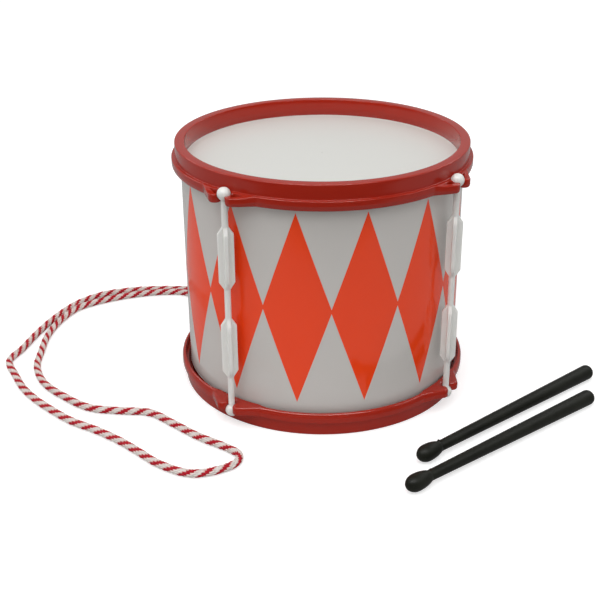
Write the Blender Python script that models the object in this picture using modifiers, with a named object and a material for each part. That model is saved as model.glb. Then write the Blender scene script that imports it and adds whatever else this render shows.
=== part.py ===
# Field drum: a toy side drum with two clamping hoops, four tension rods, a rope sling and two sticks.
# Metres, +Z up. The origin is on the floor, under the middle of the box round drum and sticks.
import math

import bmesh
import bpy
from mathutils import Matrix, Vector

# Drum as a whole
DRUM_HEIGHT = 0.1869
FACETS = 60
SEAT_GAP = 0.0003
MERGE = 0.00001

# Hoop: one moulding used twice, a cored ring over the head's edge and a wider flange below it
RING_WALL = 0.0021
RING_ROOF = 0.0020
SHELF_WALL = 0.0018
LIP_WALL = 0.0025
CLAMP_INSET = 0.0033
CLAMP_WALL = 0.0030
HOOP_DRAFT = 0.0004
RING_HEIGHT = 0.0106
FLANGE_HEIGHT = 0.0073
FLANGE_STEP = 0.0026
EDGE_R = 0.0010
LIP_ROUND = 0.0020

# Fork on the hoop: two round fingers with the rod's slot between them
EAR_COUNT = 4
EAR_AZIMUTH = math.radians(53.7)
EAR_HALF_WIDTH = 0.0220
EAR_REACH = 0.0079
EAR_EDGE_R = 0.0007
FORK_DROP = 0.0011
FINGER_R = 0.0045
SLOT_CLEARANCE = 0.00035
POCKET_DEPTH = 0.0030
POCKET_WALL = 0.0024

# Tension rod: a round stem with a ball at each end and two blades of four wings
STEM_R = 0.00225
BALL_R = 0.0046
BALL_CLEARANCE = 0.0003
BALL_LIFT = 0.0002
ROD_STANDOFF = 0.0025
BLADE_START = 0.0100
BLADE_LENGTH = 0.0480
BLADE_BEVEL = 0.0063
WING_SPAN = 0.0111
WING_THICKNESS = 0.0031
ROD_FACETS = 12
BALL_FACETS = 16

# Azimuth of the wings that show in front, one for each rod from the front right one round to the left
ROD_TURNS = {
    "front_right": math.radians(-8.0),
    "rear_right": math.radians(21.0),
    "rear_left": math.radians(36.0),
    "front_left": math.radians(9.0),
}

# Shell: a thin rolled sheet printed with a row of upright diamonds, plain where its ends meet at the back
SHELL_R = 0.1028
SHELL_WALL = 0.0010
DIAMOND_COUNT = 13
DIAMOND_PITCH = math.radians(26.7)
DIAMOND_HEIGHT = 0.1420
DIAMOND_LIFT = 0.0014
DIAMOND_BRIDGE = 0.0030
DIAMOND_COLUMNS = 6
SEAM_COLUMNS = 3
SEAM_AZIMUTH = math.radians(169.2)

# Head: a moulded cap whose playing face stands just proud of its clamped edge
HEAD_RECESS = 0.0129
HEAD_THICKNESS = 0.0008
PLAY_STEP = 0.0004
SKIRT_INSET = 0.0024

# Sling: one length of soft twisted rope, its ends tied round the two rear rods
CORD_D = 0.0057
CORD_SPACING = 0.0195
CORD_FLOOR_GAP = 0.0001
HANG_RUNS = 4
BEND_HEIGHTS = (0.0200, 0.0070)
BEND_LEANS = (0.0010, 0.0060)
KNOT_TURNS = 2
KNOT_BOSS_R = 0.0040
KNOT_FACETS = 16

# Drumstick: one plastic moulding with an egg shaped tip
STICK_LENGTH = 0.1870
STICK_TIP_R = 0.0061
STICK_TIP_LENGTH = 0.0238
STICK_BELLY = 0.0082
STICK_NECK_R = 0.0038
STICK_BUTT_R = 0.0057
STICK_BUTT_ROUND = 0.0050
STICK_FACETS = 20
TIP_FACETS = 9

# Where the tips of the sticks lie, from the drum's axis, and which way the sticks point
STICK_TIPS = {"drumstick_1": (0.0624, -0.1446), "drumstick_2": (0.0515, -0.1791)}
STICK_HEADINGS = {"drumstick_1": math.radians(39.4), "drumstick_2": math.radians(38.0)}

# The rope's way from the rear right rod round the floor on the left to the rear left rod.
# Points on the floor are from the drum's axis, and chosen by hand.
SLING_FLOOR = [
    (0.0780, 0.1200), (0.0680, 0.1365), (0.0415, 0.1450), (0.0055, 0.1465), (-0.0400, 0.1440),
    (-0.0810, 0.1405), (-0.1185, 0.1355), (-0.1420, 0.1360), (-0.1680, 0.1335), (-0.1935, 0.1250),
    (-0.2120, 0.1085), (-0.2225, 0.0900), (-0.2305, 0.0700), (-0.2375, 0.0460), (-0.2430, 0.0215),
    (-0.2485, 0.0010), (-0.2380, -0.0230), (-0.2280, -0.0420), (-0.2155, -0.0585), (-0.2015, -0.0730),
    (-0.1825, -0.0900), (-0.1620, -0.1030), (-0.1435, -0.1170), (-0.1300, -0.1295), (-0.1120, -0.1465),
    (-0.0900, -0.1575), (-0.0700, -0.1525), (-0.0600, -0.1440), (-0.0595, -0.1350), (-0.0675, -0.1270),
    (-0.0895, -0.1115), (-0.1085, -0.0945), (-0.1270, -0.0795), (-0.1495, -0.0765), (-0.1720, -0.0720),
    (-0.1940, -0.0555), (-0.2135, -0.0345), (-0.2245, -0.0085), (-0.2265, 0.0175), (-0.2270, 0.0450),
    (-0.2215, 0.0745), (-0.2105, 0.0980), (-0.1895, 0.1135), (-0.1670, 0.1235), (-0.1420, 0.1290),
    (-0.1205, 0.1275), (-0.1065, 0.1110), (-0.1020, 0.0935),
]

# Sizes worked out from the ones above; a turned ring's flats lie inside its corners by this share
FLAT_SHARE = math.cos(math.pi / FACETS)
SKIRT_R = (SHELL_R + SEAT_GAP) / FLAT_SHARE + HEAD_THICKNESS
CHANNEL_R = (SKIRT_R + SEAT_GAP) / FLAT_SHARE
HOOP_OUTER_R = CHANNEL_R + RING_WALL
HOOP_INNER_R = SHELL_R - CLAMP_INSET
FLANGE_R = HOOP_OUTER_R + FLANGE_STEP
ROD_R = FLANGE_R + ROD_STANDOFF
EAR_R = FLANGE_R + EAR_REACH
SLOT_HALF = STEM_R + SLOT_CLEARANCE
FORK_TOP = RING_HEIGHT + FORK_DROP
BALL_DROP = FORK_TOP - BALL_LIFT
CLAMP_FOOT = HEAD_RECESS + PLAY_STEP - SEAT_GAP
CLAMP_FOOT_R = HOOP_INNER_R - HOOP_DRAFT
SKIRT_DEPTH = RING_HEIGHT + FLANGE_HEIGHT - HEAD_RECESS - PLAY_STEP - SKIRT_INSET
SHELL_INSET = HEAD_RECESS + PLAY_STEP + HEAD_THICKNESS + SEAT_GAP
SHELL_HEIGHT = DRUM_HEIGHT - 2 * SHELL_INSET
MIDDLE = DRUM_HEIGHT / 2
KNOT_BOTTOM = MIDDLE + BLADE_START + BLADE_LENGTH + SEAT_GAP
HANG_OFFSET = WING_SPAN / 2 + CORD_D / 2 + 2 * SEAT_GAP
CORD_R = CORD_D / 2
STICK_SPAN = STICK_LENGTH - STICK_BUTT_ROUND - STICK_BELLY
STICK_SLOPE = math.asin((STICK_TIP_R - STICK_BUTT_R) / STICK_SPAN)
CORD_FLOOR = CORD_R + CORD_FLOOR_GAP


def butt_reach(name):
    """How far a stick's rounded butt reaches from the drum's axis along X."""
    run = (STICK_LENGTH - STICK_BUTT_R) * math.cos(STICK_HEADINGS[name])
    return STICK_TIPS[name][0] + run + STICK_BUTT_R


def tip_reach(name):
    """How far a stick's egg shaped tip, taken as an ellipse, reaches from the drum's axis against Y."""
    heading = STICK_HEADINGS[name]
    along = STICK_TIP_LENGTH / 2 * math.sin(heading)
    across = STICK_TIP_R * math.cos(heading)
    return math.hypot(along, across) - along - STICK_TIPS[name][1]


# The drum's axis stands off the origin so that the whole set is centred over it
DRUM_X = (FLANGE_R - max(butt_reach(name) for name in STICK_TIPS)) / 2
DRUM_Y = (max(tip_reach(name) for name in STICK_TIPS) - FLANGE_R) / 2


def srgb(red, green, blue):
    """Linear colour from 8 bit screen values."""
    def linear(value):
        value /= 255
        return value / 12.92 if value <= 0.04045 else ((value + 0.055) / 1.055) ** 2.4
    return (linear(red), linear(green), linear(blue), 1.0)


def material(name, colour, roughness):
    """Principled plastic, film or fibre of one colour."""
    made = bpy.data.materials.new(name)
    made.use_nodes = True
    shader = made.node_tree.nodes["Principled BSDF"]
    shader.inputs["Base Color"].default_value = colour
    shader.inputs["Roughness"].default_value = roughness
    shader.inputs["Metallic"].default_value = 0.0
    made.diffuse_color = colour
    return made


def frozen(obj):
    """Evaluated mesh of an object with its modifiers applied, as a mesh of its own."""
    graph = bpy.context.evaluated_depsgraph_get()
    graph.update()
    return bpy.data.meshes.new_from_object(obj.evaluated_get(graph))


def move_to(obj, collection):
    """Links an object to one collection only."""
    for owner in list(obj.users_collection):
        owner.objects.unlink(obj)
    collection.objects.link(obj)


def place(obj, finish, smooth_angle=35):
    """Gives a finished object its material, smooth shading and its place among the drum's pieces."""
    move_to(obj, drum)
    if obj.modifiers:
        made = frozen(obj)
        obj.modifiers.clear()
        obj.data = made
    if not obj.data.materials:
        obj.data.materials.append(finish)
    if obj.type == "MESH":
        obj.data.shade_smooth()
        obj.data.set_sharp_from_angle(angle=math.radians(smooth_angle))
    return obj


def as_cutter(obj):
    """Marks an object as a guide that only shapes others."""
    obj.hide_render = True
    obj.display_type = "WIRE"
    move_to(obj, guides)
    return obj


def lathe(name, profile, facets=FACETS, closed=True):
    """Turns a profile of (radius, height) points, listed down its outer side, round the Z axis."""
    mesh = bpy.data.meshes.new(name)
    edges = [(i, i + 1) for i in range(len(profile) - 1)]
    if closed:
        edges.append((len(profile) - 1, 0))
    mesh.from_pydata([(radius, 0.0, height) for radius, height in profile], edges, [])
    obj = bpy.data.objects.new(name, mesh)
    bpy.context.scene.collection.objects.link(obj)
    turn = obj.modifiers.new("turn", "SCREW")
    turn.steps = turn.render_steps = facets
    turn.use_merge_vertices = True
    turn.merge_threshold = MERGE
    turn.use_smooth_shade = True
    weld = obj.modifiers.new("weld", "WELD")
    weld.merge_threshold = MERGE
    return obj


def rounded(corners):
    """Profile whose corners (x, y, radius, facets) are turned into arcs of a few points."""
    points = []
    for index, (x, y, radius, facets) in enumerate(corners):
        if radius == 0:
            points.append((x, y))
            continue
        before = Vector(corners[index - 1][:2]) - Vector((x, y))
        after = Vector(corners[(index + 1) % len(corners)][:2]) - Vector((x, y))
        half = before.angle(after) / 2
        reach = radius / math.tan(half)
        start = Vector((x, y)) + before.normalized() * reach
        end = Vector((x, y)) + after.normalized() * reach
        centre = Vector((x, y)) + (before.normalized() + after.normalized()).normalized() * radius / math.sin(half)
        first = math.atan2(start.y - centre.y, start.x - centre.x)
        sweep = math.atan2(end.y - centre.y, end.x - centre.x) - first
        sweep = (sweep + math.pi) % (2 * math.pi) - math.pi
        for step in range(facets + 1):
            angle = first + sweep * step / facets
            points.append((centre.x + radius * math.cos(angle), centre.y + radius * math.sin(angle)))
    return points


def slab(name, outline, thickness, matrix=Matrix()):
    """Flat outline extruded both ways to a thickness, as a closed mesh object."""
    curve = bpy.data.curves.new(name, "CURVE")
    curve.dimensions = "2D"
    curve.fill_mode = "BOTH"
    curve.extrude = thickness / 2
    spline = curve.splines.new("POLY")
    spline.points.add(len(outline) - 1)
    for point, (x, y) in zip(spline.points, outline):
        point.co = (x, y, 0.0, 1.0)
    spline.use_cyclic_u = True
    flat = bpy.data.objects.new(name + "_outline", curve)
    bpy.context.scene.collection.objects.link(flat)
    mesh = frozen(flat)
    work = bmesh.new()
    work.from_mesh(mesh)
    bmesh.ops.remove_doubles(work, verts=work.verts, dist=MERGE)
    bmesh.ops.recalc_face_normals(work, faces=work.faces)
    work.to_mesh(mesh)
    work.free()
    obj = bpy.data.objects.new(name, mesh)
    bpy.context.scene.collection.objects.link(obj)
    obj.matrix_world = matrix @ flat.matrix_world
    bpy.data.objects.remove(flat)
    return obj


def ball(name, radius, centre, facets=BALL_FACETS):
    """Sphere from a primitive."""
    mesh = bpy.data.meshes.new(name)
    work = bmesh.new()
    bmesh.ops.create_uvsphere(work, u_segments=facets, v_segments=facets // 2, radius=radius)
    bmesh.ops.translate(work, verts=work.verts, vec=centre)
    work.to_mesh(mesh)
    work.free()
    obj = bpy.data.objects.new(name, mesh)
    bpy.context.scene.collection.objects.link(obj)
    return obj


def combine(target, other, operation):
    """Boolean of one object on another, which becomes a guide."""
    cut = target.modifiers.new(operation.lower(), "BOOLEAN")
    cut.operation = operation
    cut.solver = "EXACT"
    cut.object = as_cutter(other)


def around(name, objects):
    """Joins copies of the objects' meshes, one set at each ear, into one object."""
    work = bmesh.new()
    for turn in range(EAR_COUNT):
        for obj in objects:
            before = len(work.verts)
            work.from_mesh(frozen(obj))
            work.verts.ensure_lookup_table()
            spin = Matrix.Rotation(2 * math.pi * turn / EAR_COUNT, 4, "Z") @ obj.matrix_world
            bmesh.ops.transform(work, matrix=spin, verts=work.verts[before:])
    mesh = bpy.data.meshes.new(name)
    work.to_mesh(mesh)
    work.free()
    for obj in objects:
        bpy.data.objects.remove(obj)
    joined = bpy.data.objects.new(name, mesh)
    bpy.context.scene.collection.objects.link(joined)
    return joined


# Scene: nothing but the model, in a collection of its own, with another for the guides
for old in list(bpy.data.objects):
    bpy.data.objects.remove(old)
drum = bpy.data.collections.new("field_drum")
bpy.context.scene.collection.children.link(drum)
guides = bpy.data.collections.new("guides")
bpy.context.scene.collection.children.link(guides)

RED = srgb(178, 38, 32)
WHITE = srgb(205, 202, 200)
ORANGE = srgb(222, 66, 30)
FILM = srgb(228, 227, 224)
ROD_WHITE = srgb(226, 226, 222)
ROPE = srgb(205, 120, 125)
BLACK = srgb(38, 40, 34)

# Everything on the drum hangs from one empty on its axis
axis = bpy.data.objects.new("drum_axis", None)
axis.location = (DRUM_X, DRUM_Y, 0.0)
drum.objects.link(axis)


def on_drum(obj, location, rotation=(0.0, 0.0, 0.0)):
    """Parents an object to the drum's axis and sets it there."""
    obj.parent = axis
    obj.location = location
    obj.rotation_euler = rotation
    return obj


def finger_tangent(start, centre, radius):
    """Point where a line from start touches the outer side of a finger's round end."""
    away = Vector(start) - Vector(centre)
    angle = math.atan2(away.y, away.x) - math.acos(radius / away.length)
    return centre[0] + radius * math.cos(angle), centre[1] + radius * math.sin(angle), angle


def fork_outline():
    """Plan of one fork: radius along X and sideways along Y, inside the flange on its inner side."""
    root = math.sqrt((FLANGE_R - FLANGE_STEP / 4) ** 2 - EAR_HALF_WIDTH ** 2)
    centre = (EAR_R - FINGER_R, SLOT_HALF + FINGER_R)
    touch_x, touch_y, touch_angle = finger_tangent((root, EAR_HALF_WIDTH), centre, FINGER_R)
    side = [(CHANNEL_R + SEAT_GAP, EAR_HALF_WIDTH - LIP_WALL / 2), (root, EAR_HALF_WIDTH)]
    steps = 5
    for step in range(steps + 1):
        angle = touch_angle + (-math.pi / 2 - touch_angle) * step / steps
        side.append((centre[0] + FINGER_R * math.cos(angle), centre[1] + FINGER_R * math.sin(angle)))
    slot_end = FLANGE_R - LIP_WALL / 4 + SLOT_HALF
    for step in range(5):
        angle = math.pi / 2 * (1 + step / 4)
        side.append((slot_end + SLOT_HALF * math.cos(angle), SLOT_HALF * math.sin(angle)))
    other = [(x, -y) for x, y in reversed(side[:-1])]
    return side + other


def pocket_outline(side):
    """Triangular core pocket between the rod's ball, the ring and a finger's outer wall."""
    inner = FLANGE_R + POCKET_WALL / 8
    near = BALL_R + BALL_CLEARANCE + POCKET_WALL
    wide = EAR_HALF_WIDTH - 3 * POCKET_WALL
    corners = [(inner, near * side), (inner, wide * side), (EAR_R - 1.5 * POCKET_WALL, (near + 0.001) * side)]
    return corners if side > 0 else corners[::-1]


def hoop_mesh():
    """One hoop, rim upwards at height 0, with its forks, ball seats and core pockets."""
    top, step, skirt = 0.0, -RING_HEIGHT, -RING_HEIGHT - FLANGE_HEIGHT
    ring = lathe("hoop_ring", rounded([
        (HOOP_OUTER_R, top, EDGE_R, 2),
        (HOOP_OUTER_R, step, 0, 0),
        (FLANGE_R, step, EDGE_R / 2, 1),
        (FLANGE_R, skirt, LIP_ROUND, 2),
        (FLANGE_R - LIP_WALL, skirt, 0, 0),
        (FLANGE_R - LIP_WALL, step - SHELF_WALL, 0, 0),
        (CHANNEL_R, step - SHELF_WALL, 0, 0),
        (CHANNEL_R, top - RING_ROOF, 0, 0),
        (CLAMP_FOOT_R + CLAMP_WALL, top - RING_ROOF, 0, 0),
        (CLAMP_FOOT_R + CLAMP_WALL, -CLAMP_FOOT, 0, 0),
        (CLAMP_FOOT_R, -CLAMP_FOOT, 0, 0),
        (HOOP_INNER_R, top, EDGE_R / 2, 1),
    ]))
    middle = (skirt - FORK_TOP) / 2
    thickness = FLANGE_HEIGHT - FORK_DROP - 2 * SEAT_GAP / 3
    fork = slab("fork", fork_outline(), thickness, Matrix.Translation((0, 0, middle)))
    edge = fork.modifiers.new("edge", "BEVEL")
    edge.width = EAR_EDGE_R
    edge.segments = 1
    edge.limit_method = "ANGLE"
    edge.angle_limit = math.radians(60)
    forks = around("forks", [fork])
    seats = around("ball_seats", [ball("seat", BALL_R + BALL_CLEARANCE, (ROD_R, 0, -BALL_DROP))])
    pocket_top = Matrix.Translation((0, 0, -FORK_TOP))
    pockets = around("core_pockets", [
        slab("pocket_" + str(side), pocket_outline(side), 2 * POCKET_DEPTH, pocket_top) for side in (1, -1)
    ])
    combine(ring, forks, "UNION")
    combine(ring, seats, "DIFFERENCE")
    combine(ring, pockets, "DIFFERENCE")
    mesh = frozen(ring)
    bpy.data.objects.remove(ring)
    return mesh


red_plastic = material("red_plastic", RED, 0.28)
hoop = hoop_mesh()
for hoop_name, height, flip in (("top_hoop", DRUM_HEIGHT, 0.0), ("bottom_hoop", 0.0, math.pi)):
    hoop_object = bpy.data.objects.new(hoop_name, hoop)
    bpy.context.scene.collection.objects.link(hoop_object)
    place(hoop_object, red_plastic)
    on_drum(hoop_object, (0, 0, height), (flip, 0.0, EAR_AZIMUTH - math.pi / 2))


def sheet_place(column):
    """Azimuth of a column of the rolled sheet, and how far up and down the print reaches there."""
    printed = DIAMOND_COUNT * DIAMOND_COLUMNS
    plain = 2 * math.pi - DIAMOND_COUNT * DIAMOND_PITCH
    first = SEAM_AZIMUTH + plain / 2
    if column > printed:
        return first + DIAMOND_COUNT * DIAMOND_PITCH + plain * (column - printed) / SEAM_COLUMNS, DIAMOND_BRIDGE / 2
    share = 1 - abs(column % DIAMOND_COLUMNS - DIAMOND_COLUMNS / 2) / (DIAMOND_COLUMNS / 2)
    reach = DIAMOND_BRIDGE / 2 + (DIAMOND_HEIGHT - DIAMOND_BRIDGE) / 2 * share
    return first + DIAMOND_PITCH * column / DIAMOND_COLUMNS, reach


def shell_object():
    """Rolled sheet: a grid bent round the axis, whose middle row of faces is the printed diamonds."""
    columns = DIAMOND_COUNT * DIAMOND_COLUMNS + SEAM_COLUMNS
    low, high = -SHELL_HEIGHT / 2, SHELL_HEIGHT / 2
    work = bmesh.new()
    bmesh.ops.create_grid(work, x_segments=columns, y_segments=3, size=1.0)
    for vert in work.verts:
        column = round((vert.co.x + 1) / 2 * columns)
        row = round((vert.co.y + 1) / 2 * 3)
        azimuth, half = sheet_place(column)
        height = (low, DIAMOND_LIFT - half, DIAMOND_LIFT + half, high)[row]
        vert.co = (SHELL_R * math.sin(azimuth), -SHELL_R * math.cos(azimuth), height)
    bmesh.ops.remove_doubles(work, verts=work.verts, dist=MERGE)
    bmesh.ops.recalc_face_normals(work, faces=work.faces)
    work.normal_update()
    if sum(face.normal.dot(face.calc_center_median()) for face in work.faces) < 0:
        bmesh.ops.reverse_faces(work, faces=work.faces)
    seam_width = 2 * math.pi - DIAMOND_COUNT * DIAMOND_PITCH
    for face in work.faces:
        middle = face.calc_center_median()
        turned = (math.atan2(middle.x, -middle.y) - SEAM_AZIMUTH + math.pi) % (2 * math.pi) - math.pi
        printed = all(abs(vert.co.z - DIAMOND_LIFT) < DIAMOND_HEIGHT / 2 + MERGE for vert in face.verts)
        face.material_index = 1 if printed and abs(turned) > seam_width / 2 else 0
    mesh = bpy.data.meshes.new("shell")
    work.to_mesh(mesh)
    work.free()
    mesh.materials.append(material("white_sheet", WHITE, 0.25))
    mesh.materials.append(material("orange_print", ORANGE, 0.25))
    obj = bpy.data.objects.new("shell", mesh)
    bpy.context.scene.collection.objects.link(obj)
    wall = obj.modifiers.new("wall", "SOLIDIFY")
    wall.thickness = SHELL_WALL
    wall.offset = -1.0
    wall.use_even_offset = True
    return obj


on_drum(place(shell_object(), None, 20), (0, 0, MIDDLE))


def head_object(name):
    """Cap with a flat playing face at height 0, a step down to its clamped edge and a skirt."""
    play_r = CLAMP_FOOT_R - 2 * SEAT_GAP
    return lathe(name, [
        (0.0, 0.0),
        (play_r - PLAY_STEP, 0.0),
        (play_r, -PLAY_STEP),
        (SKIRT_R, -PLAY_STEP),
        (SKIRT_R, -PLAY_STEP - SKIRT_DEPTH),
        (SKIRT_R - HEAD_THICKNESS, -PLAY_STEP - SKIRT_DEPTH),
        (SKIRT_R - HEAD_THICKNESS, -PLAY_STEP - HEAD_THICKNESS),
        (play_r, -PLAY_STEP - HEAD_THICKNESS),
        (play_r - PLAY_STEP, -HEAD_THICKNESS),
        (0.0, -HEAD_THICKNESS),
    ], closed=False)


film = material("white_film", FILM, 0.35)
on_drum(place(head_object("batter_head"), film), (0, 0, DRUM_HEIGHT - HEAD_RECESS))
on_drum(place(head_object("bottom_head"), film), (0, 0, HEAD_RECESS), (math.pi, 0.0, 0.0))


def blade_outline():
    """Side view of one pair of wings: height along X, half span along Y, bevelled to the stem."""
    far = BLADE_START + BLADE_LENGTH
    half, root = WING_SPAN / 2, STEM_R * 0.8
    return [
        (BLADE_START, root), (BLADE_START + BLADE_BEVEL, half), (far - BLADE_BEVEL, half), (far, root),
        (far, -root), (far - BLADE_BEVEL, -half), (BLADE_START + BLADE_BEVEL, -half), (BLADE_START, -root),
    ]


def rod_mesh():
    """One tension rod, its middle at height 0 and its axis along Z."""
    reach = MIDDLE - BALL_DROP
    mesh = bpy.data.meshes.new("stem")
    work = bmesh.new()
    bmesh.ops.create_cone(
        work, cap_ends=True, segments=ROD_FACETS, radius1=STEM_R, radius2=STEM_R, depth=2 * reach
    )
    work.to_mesh(mesh)
    work.free()
    stem = bpy.data.objects.new("stem", mesh)
    bpy.context.scene.collection.objects.link(stem)
    for side in (1, -1):
        combine(stem, ball("ball", BALL_R, (0, 0, side * reach)), "UNION")
        for turn in (0.0, math.pi / 2):
            upright = Matrix.Rotation(turn, 4, "Z") @ Matrix.Rotation(-side * math.pi / 2, 4, "Y")
            combine(stem, slab("wings", blade_outline(), WING_THICKNESS, upright), "UNION")
    made = frozen(stem)
    bpy.data.objects.remove(stem)
    return made


rod_plastic = material("white_plastic", ROD_WHITE, 0.35)
rod = rod_mesh()
for index, (rod_name, wing_azimuth) in enumerate(ROD_TURNS.items()):
    azimuth = EAR_AZIMUTH + 2 * math.pi * index / EAR_COUNT
    rod_object = bpy.data.objects.new("tension_rod_" + rod_name, rod)
    bpy.context.scene.collection.objects.link(rod_object)
    place(rod_object, rod_plastic, 30)
    spot = (ROD_R * math.sin(azimuth), -ROD_R * math.cos(azimuth), MIDDLE)
    on_drum(rod_object, spot, (0.0, 0.0, wing_azimuth))


def knot_object(name, azimuth):
    """Two turns of the rope round a stem, and the boss where the standing part comes out below."""
    hole = STEM_R + SEAT_GAP
    profile = []
    for turn in range(KNOT_TURNS):
        middle = CORD_D * (KNOT_TURNS - turn - 0.5)
        for step in range(7):
            angle = math.radians(80 - 160 * step / 6)
            profile.append((hole + CORD_R + CORD_R * math.cos(angle), middle + CORD_R * math.sin(angle)))
    profile += [(hole, 0.0), (hole, CORD_D * KNOT_TURNS)]
    obj = lathe(name, profile, KNOT_FACETS)
    mesh = bpy.data.meshes.new(name + "_boss")
    work = bmesh.new()
    height = CORD_D * KNOT_TURNS - CORD_R
    lift = height / 2 - SEAT_GAP
    bmesh.ops.create_cone(
        work, cap_ends=True, segments=16, radius1=KNOT_BOSS_R, radius2=KNOT_BOSS_R * 0.8, depth=height
    )
    bmesh.ops.translate(work, verts=work.verts, vec=(HANG_OFFSET, 0, lift))
    work.to_mesh(mesh)
    work.free()
    boss = bpy.data.objects.new(name + "_boss", mesh)
    bpy.context.scene.collection.objects.link(boss)
    combine(obj, boss, "UNION")
    made = frozen(obj)
    bpy.data.objects.remove(obj)
    bpy.data.objects.remove(boss)
    knot = bpy.data.objects.new(name, made)
    bpy.context.scene.collection.objects.link(knot)
    place(knot, rope)
    spot = (ROD_R * math.sin(azimuth), -ROD_R * math.cos(azimuth), KNOT_BOTTOM)
    return on_drum(knot, spot, (0.0, 0.0, azimuth - math.pi / 2))


def smooth_route(points, spacing):
    """Centripetal spline through the points, read off again at even steps along its length."""
    points = [Vector(p) for p in points]
    points = [2 * points[0] - points[1]] + points + [2 * points[-1] - points[-2]]
    dense = []
    for p0, p1, p2, p3 in zip(points, points[1:], points[2:], points[3:]):
        t1 = (p1 - p0).length ** 0.5
        t2 = t1 + (p2 - p1).length ** 0.5
        t3 = t2 + (p3 - p2).length ** 0.5
        for step in range(24):
            t = t1 + (t2 - t1) * step / 24
            a1 = p0.lerp(p1, t / t1)
            a2 = p1.lerp(p2, (t - t1) / (t2 - t1))
            a3 = p2.lerp(p3, (t - t2) / (t3 - t2))
            b1 = a1.lerp(a2, t / t2)
            b2 = a2.lerp(a3, (t - t1) / (t3 - t1))
            dense.append(b1.lerp(b2, (t - t1) / (t2 - t1)))
    dense.append(points[-2])
    for point in dense:
        point.z = max(point.z, CORD_FLOOR)
    length = sum((b - a).length for a, b in zip(dense, dense[1:]))
    count = round(length / spacing)
    route, walked, target = [dense[0]], 0.0, length / count
    for a, b in zip(dense, dense[1:]):
        stretch = (b - a).length
        while walked + stretch >= target and len(route) < count:
            route.append(a.lerp(b, (target - walked) / stretch))
            target += length / count
        walked += stretch
    route.append(dense[-1])
    return route, length


def sling_points():
    """The rope's route: down from the rear right knot, along the floor, and up to the rear left one."""
    start = KNOT_BOTTOM - 2 * SEAT_GAP
    drops = []
    for turn in (1, 2):
        azimuth = EAR_AZIMUTH + 2 * math.pi * turn / EAR_COUNT
        outwards = Vector((math.sin(azimuth), -math.cos(azimuth), 0.0))
        hang = outwards * (ROD_R + HANG_OFFSET)
        run = (start - BEND_HEIGHTS[0]) / HANG_RUNS
        drop = [hang + Vector((0, 0, start - run * step)) for step in range(HANG_RUNS)]
        for height, lean in zip(BEND_HEIGHTS, BEND_LEANS):
            drop.append(hang + outwards * lean + Vector((0, 0, height)))
        drops.append(drop)
    route = drops[0] + [Vector((x, y, CORD_FLOOR)) for x, y in SLING_FLOOR] + drops[1][::-1]
    return route


rope = material("rope", ROPE, 0.85)
knot_object("sling_knot_right", EAR_AZIMUTH + math.pi / 2)
knot_object("sling_knot_left", EAR_AZIMUTH + math.pi)
cord_route, cord_length = smooth_route(sling_points(), CORD_SPACING)
cord = bpy.data.curves.new("sling_cord", "CURVE")
cord.dimensions = "3D"
cord.bevel_depth = CORD_R
cord.bevel_resolution = 2
cord.use_fill_caps = True
cord_line = cord.splines.new("POLY")
cord_line.points.add(len(cord_route) - 1)
for cord_point, place_on_route in zip(cord_line.points, cord_route):
    cord_point.co = (*place_on_route, 1.0)
sling = bpy.data.objects.new("sling_cord", cord)
bpy.context.scene.collection.objects.link(sling)
on_drum(place(sling, rope), (0, 0, 0))
print("sling length", round(cord_length, 4), "points", len(cord_route))


def stick_object(name):
    """Drumstick along its own Z axis, tip at height 0 and butt at the top."""
    butt = []
    for step in range(5):
        angle = math.pi / 2 * step / 4
        rise = STICK_BUTT_ROUND * (1 - math.cos(angle))
        butt.append((STICK_BUTT_R * math.sin(angle), STICK_LENGTH - rise))
    neck = math.asin(STICK_NECK_R / STICK_TIP_R)
    tip = []
    for step in range(TIP_FACETS + 1):
        angle = neck + (math.pi - neck) * step / TIP_FACETS
        length = STICK_TIP_LENGTH - STICK_BELLY if angle < math.pi / 2 else STICK_BELLY
        tip.append((STICK_TIP_R * math.sin(angle), STICK_BELLY + length * math.cos(angle)))
    return lathe(name, butt + tip, STICK_FACETS, closed=False)


black_plastic = material("black_plastic", BLACK, 0.45)
for stick_name, (tip_x, tip_y) in STICK_TIPS.items():
    stick = place(stick_object(stick_name), black_plastic)
    rest = STICK_TIP_R + STICK_BELLY * math.sin(STICK_SLOPE)
    on_drum(stick, (tip_x, tip_y, rest), (0.0, math.pi / 2 + STICK_SLOPE, STICK_HEADINGS[stick_name]))
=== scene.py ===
import math

import bpy
import numpy as np
from mathutils import Matrix, Vector


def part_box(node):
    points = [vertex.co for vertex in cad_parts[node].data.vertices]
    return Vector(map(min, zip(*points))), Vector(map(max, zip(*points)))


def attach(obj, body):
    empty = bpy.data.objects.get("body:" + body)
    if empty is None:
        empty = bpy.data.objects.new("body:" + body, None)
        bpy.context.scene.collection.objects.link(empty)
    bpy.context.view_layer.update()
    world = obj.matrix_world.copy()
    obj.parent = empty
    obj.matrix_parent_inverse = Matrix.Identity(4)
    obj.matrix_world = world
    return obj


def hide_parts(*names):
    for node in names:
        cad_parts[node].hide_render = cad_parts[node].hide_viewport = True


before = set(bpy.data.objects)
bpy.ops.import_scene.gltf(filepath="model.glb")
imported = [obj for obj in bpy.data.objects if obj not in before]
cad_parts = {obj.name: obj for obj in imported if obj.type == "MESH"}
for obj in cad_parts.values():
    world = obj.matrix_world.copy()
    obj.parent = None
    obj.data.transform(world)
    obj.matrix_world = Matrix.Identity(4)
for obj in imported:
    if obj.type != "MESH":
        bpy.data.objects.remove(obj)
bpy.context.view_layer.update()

# The photograph's view
# A camera on a stand in front of the drum, aimed down at it. Its place is given from the point where
# the drum's axis meets the floor.
CAMERA_PLACE = Vector((-0.01674, -0.7647, 0.4188))
CAMERA_TILT = math.radians(25.421)
CAMERA_ROLL = math.radians(0.403)
CAMERA_LENS = 65.526
SENSOR_WIDTH = 36.0
NEAREST_SEEN = 0.01

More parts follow.
